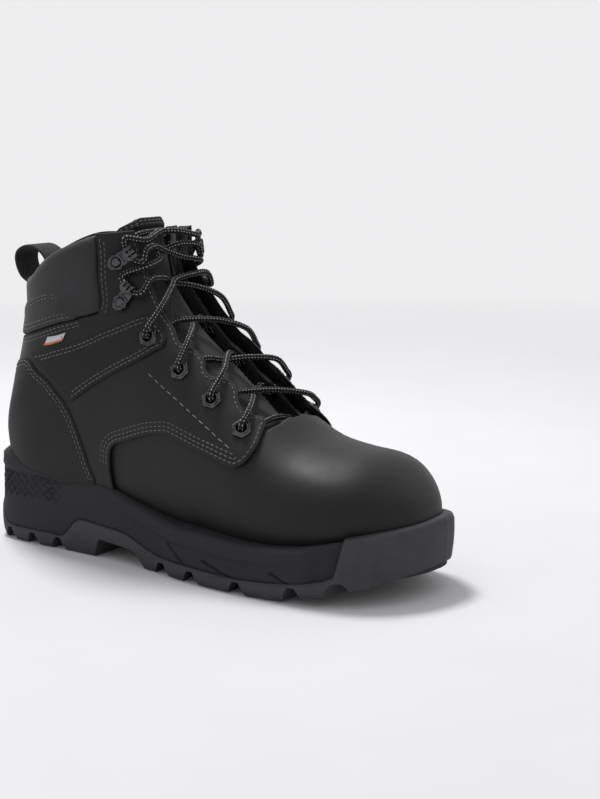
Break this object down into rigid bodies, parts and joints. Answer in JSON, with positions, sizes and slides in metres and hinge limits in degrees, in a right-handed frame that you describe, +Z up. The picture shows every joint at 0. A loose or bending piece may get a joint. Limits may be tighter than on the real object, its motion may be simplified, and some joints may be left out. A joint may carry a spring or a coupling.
{
  "type": "steel toe work boot",
  "caption": "Right ankle-height lace-up work boot: leather upper with eyelets and hooks, padded tongue and collar, steel toe cap, lugged rubber sole and removable footbed.",
  "frame": {"origin": "centre of the boot's bounding box at floor height", "axes": "+X towards the toe, -Y towards the outer (little toe) side, +Z up"},
  "size_m": [0.31, 0.11, 0.2049],
  "materials": {
    "black_leather": "matt, fine grain",
    "grey_leather": "soft, matt",
    "dark_fabric": "woven",
    "foam": "soft foam",
    "grey_rubber": "matt, moulded",
    "dark_midsole": "matt, moulded foam",
    "gunmetal": "dark plated",
    "steel": "plain pressed sheet",
    "fibre_board": "raw board",
    "stiff_plastic": "plain",
    "footbed_foam": "fabric-topped foam",
    "lace_cord": "round braid",
    "aglet_plastic": "smooth",
    "webbing": "woven tape",
    "label_cloth": "woven"
  },
  "bodies": {
    "boot": {"achilles_panel": "grey_leather", "aglet_1": "aglet_plastic", "aglet_2": "aglet_plastic", "ankle_strap_lateral": "grey_leather", "ankle_strap_medial": "grey_leather", "collar_cover": "grey_leather", "collar_foam": "foam", "eyelet_lateral_1": "gunmetal", "eyelet_lateral_2": "gunmetal", "eyelet_lateral_3": "gunmetal", "eyelet_lateral_4": "gunmetal", "eyelet_medial_1": "gunmetal", "eyelet_medial_2": "gunmetal", "eyelet_medial_3": "gunmetal", "eyelet_medial_4": "gunmetal", "heel_counter": "black_leather", "heel_stiffener": "stiff_plastic", "hook_rivet_lateral_1": "gunmetal", "hook_rivet_lateral_2": "gunmetal", "hook_rivet_medial_1": "gunmetal", "hook_rivet_medial_2": "gunmetal", "insole_board": "fibre_board", "lace": "lace_cord", "lace_hook_lateral_1": "gunmetal", "lace_hook_lateral_2": "gunmetal", "lace_hook_medial_1": "gunmetal", "lace_hook_medial_2": "gunmetal", "midsole": "dark_midsole", "outsole": "grey_rubber", "pull_tab": "webbing", "quarter_lateral": "black_leather", "quarter_lining": "dark_fabric", "quarter_medial": "black_leather", "side_label": "label_cloth", "steel_shank": "steel", "steel_toe_cap": "steel", "toe_cap_edge_strip": "stiff_plastic", "vamp": "black_leather", "vamp_lining": "dark_fabric"},
    "footbed": {"footbed": "footbed_foam"},
    "tongue": {"tongue": "dark_fabric", "tongue_patch": "black_leather"}
  },
  "joints": [
    {"name": "footbed_lift", "type": "hinge", "parent": "boot", "child": "footbed", "pos_m": [0.11658, 0.00339, 0.02208], "axis": [0, 1, 0], "range_deg": [0, 12]},
    {"name": "tongue_lean", "type": "hinge", "parent": "boot", "child": "tongue", "pos_m": [0.05767, -0.00046, 0.07256], "axis": [0, -1, 0], "range_deg": [0, 9]}
  ]
}
